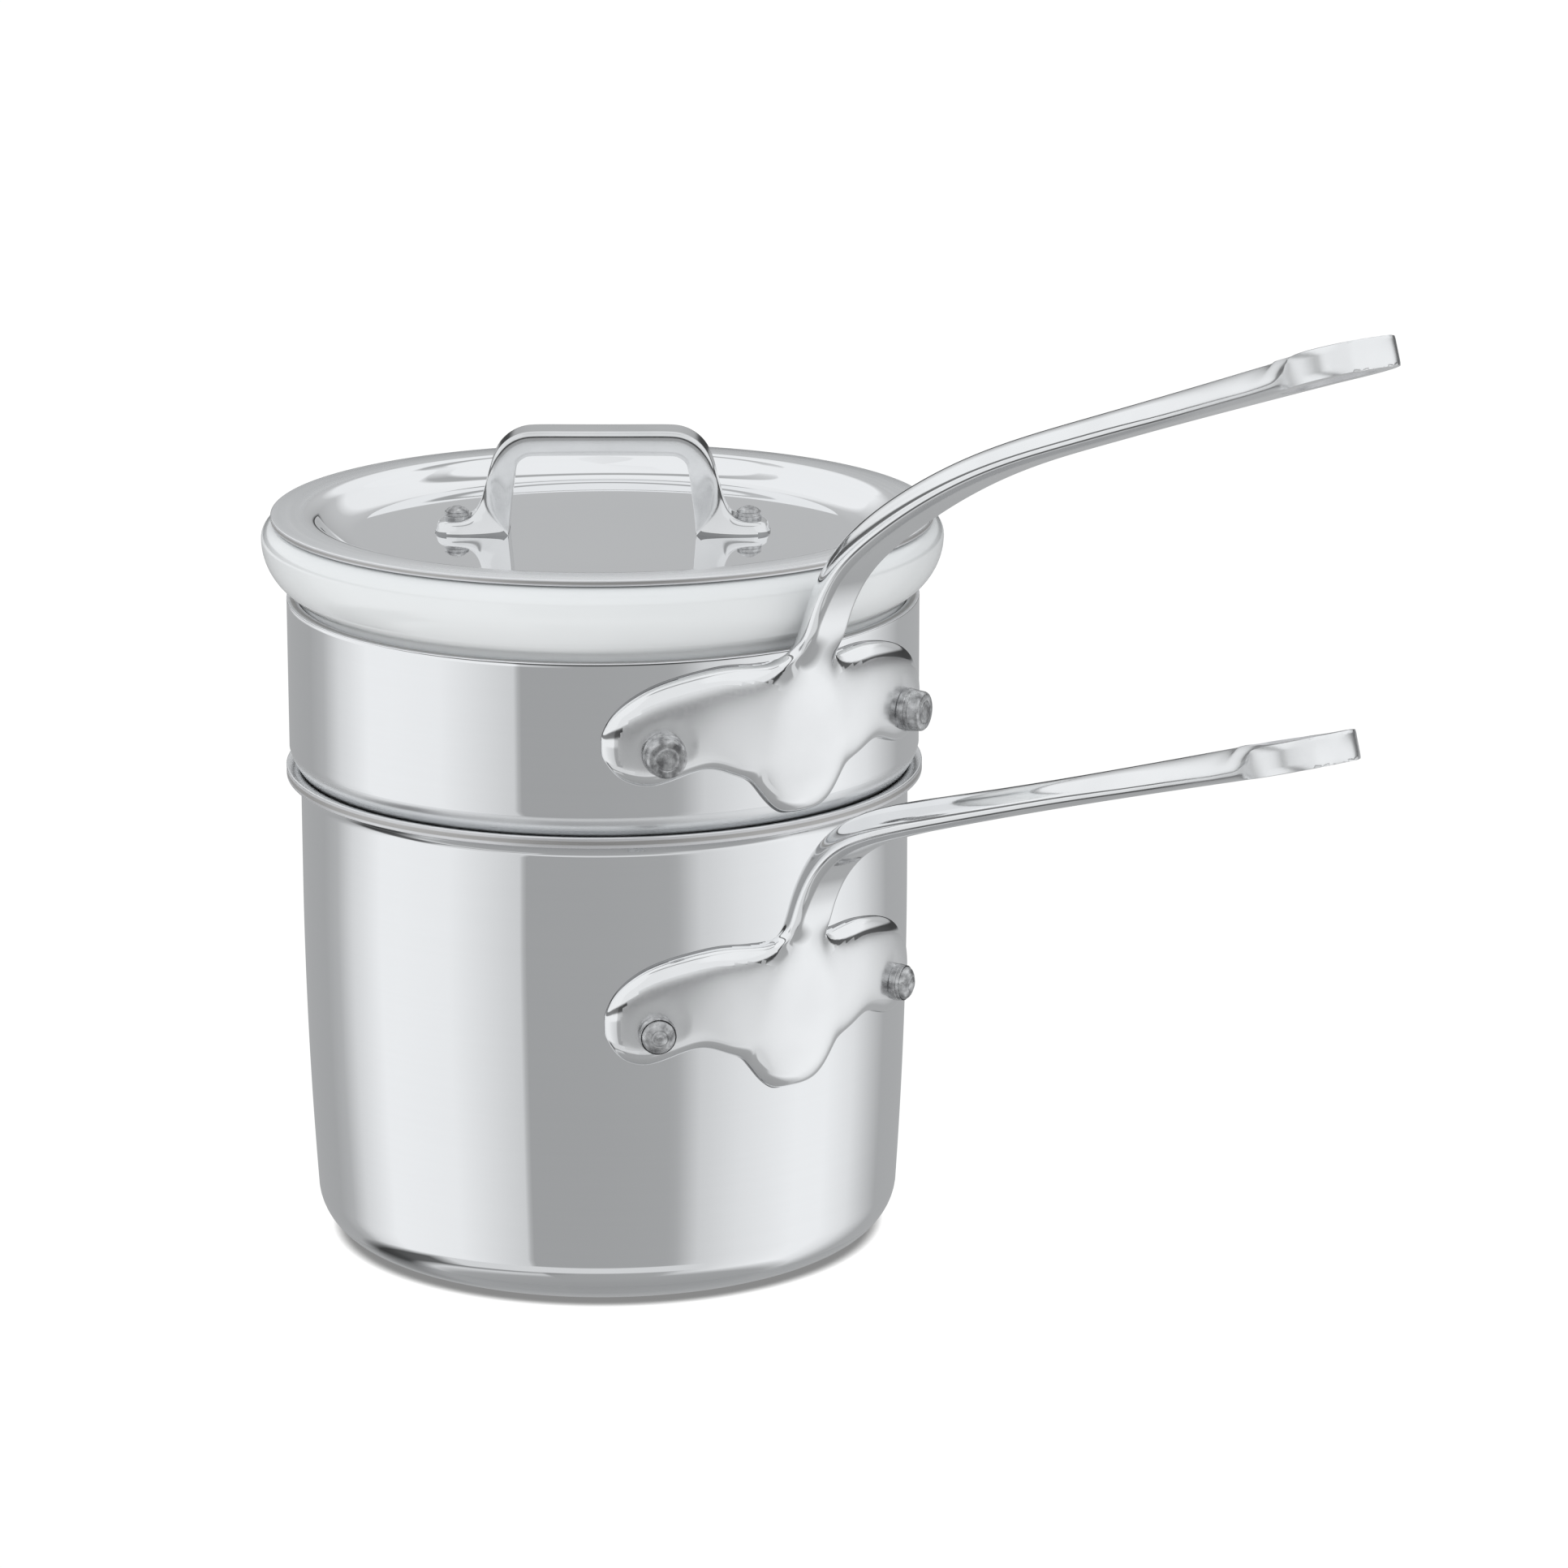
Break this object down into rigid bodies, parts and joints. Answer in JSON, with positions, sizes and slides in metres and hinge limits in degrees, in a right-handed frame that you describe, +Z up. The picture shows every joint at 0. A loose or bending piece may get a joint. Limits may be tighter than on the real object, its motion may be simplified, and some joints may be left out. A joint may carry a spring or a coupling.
{
  "type": "double boiler",
  "caption": "Steel water pan with a steel ring in its mouth, a porcelain bowl hung in the ring and a recessed lid; riveted cast handles, each piece lifts off the one below.",
  "frame": {"origin": "middle of the pan's flat foot, on the surface it stands on", "axes": "+Z up along the axis of the vessels, +X along both long handles, towards their ends"},
  "size_m": [0.3469, 0.1618, 0.2555],
  "materials": {
    "pan_steel": "mirror polished",
    "ring_steel": "mirror polished, satin on the shoulder and the cut edge",
    "lid_steel": "satin flange, polished recess",
    "cast_handle": "cast and hand polished",
    "rivet": "dull, rough ends",
    "porcelain": "white gloss glaze"
  },
  "bodies": {
    "pan": {"water_pan": "pan_steel", "pan_handle": "cast_handle", "pan_rivet_left": "rivet", "pan_rivet_right": "rivet"},
    "ring": {"steel_ring": "ring_steel", "ring_handle": "cast_handle", "ring_rivet_left": "rivet", "ring_rivet_right": "rivet"},
    "bowl": {"porcelain_bowl": "porcelain"},
    "lid": {"lid": "lid_steel", "lid_handle": "cast_handle", "lid_rivet_left": "rivet", "lid_rivet_right": "rivet"}
  },
  "joints": [
    {"name": "ring_lift", "type": "slide", "parent": "pan", "child": "ring", "axis": [0, 0, 1], "range_m": [0, 0.12]},
    {"name": "bowl_lift", "type": "slide", "parent": "ring", "child": "bowl", "axis": [0, 0, 1], "range_m": [0, 0.12]},
    {"name": "lid_lift", "type": "slide", "parent": "bowl", "child": "lid", "axis": [0, 0, 1], "range_m": [0, 0.06]}
  ]
}
